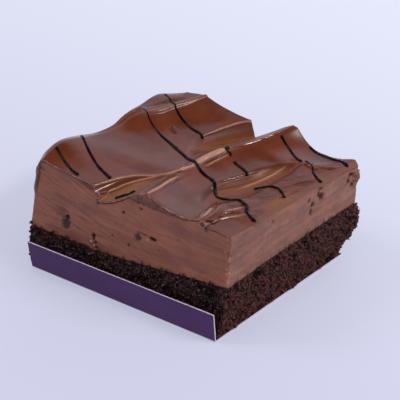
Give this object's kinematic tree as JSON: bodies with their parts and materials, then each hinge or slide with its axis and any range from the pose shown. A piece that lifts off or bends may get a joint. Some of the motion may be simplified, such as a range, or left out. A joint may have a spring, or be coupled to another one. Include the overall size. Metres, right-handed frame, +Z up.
{
  "type": "brownie",
  "caption": "Square slice of chocolate sponge and chocolate mousse under a wavy milk chocolate icing with thin dark drizzle, standing on a card with a folded-up front flap.",
  "frame": {"origin": "the middle of the footprint of the whole cake and card, on the surface that it stands on", "axes": "+Z up; +X along the card's flap, from the cake's left to its right as seen from the flap; -Y out of the flap, towards the front"},
  "size_m": [0.0907, 0.0855, 0.0436],
  "materials": {
    "card": "dark aubergine printed card with a soft sheen and pale cut edges",
    "sponge": "dark, open and dull cake crumb",
    "mousse": "matte mid brown mousse with fine streaks from the knife",
    "icing": "glossy milk chocolate icing, swept in waves",
    "drizzle": "glossy, nearly black chocolate"
  },
  "bodies": {
    "root": {"card": "card", "sponge": "sponge", "mousse": "mousse", "icing": "icing"}
  },
  "joints": []
}
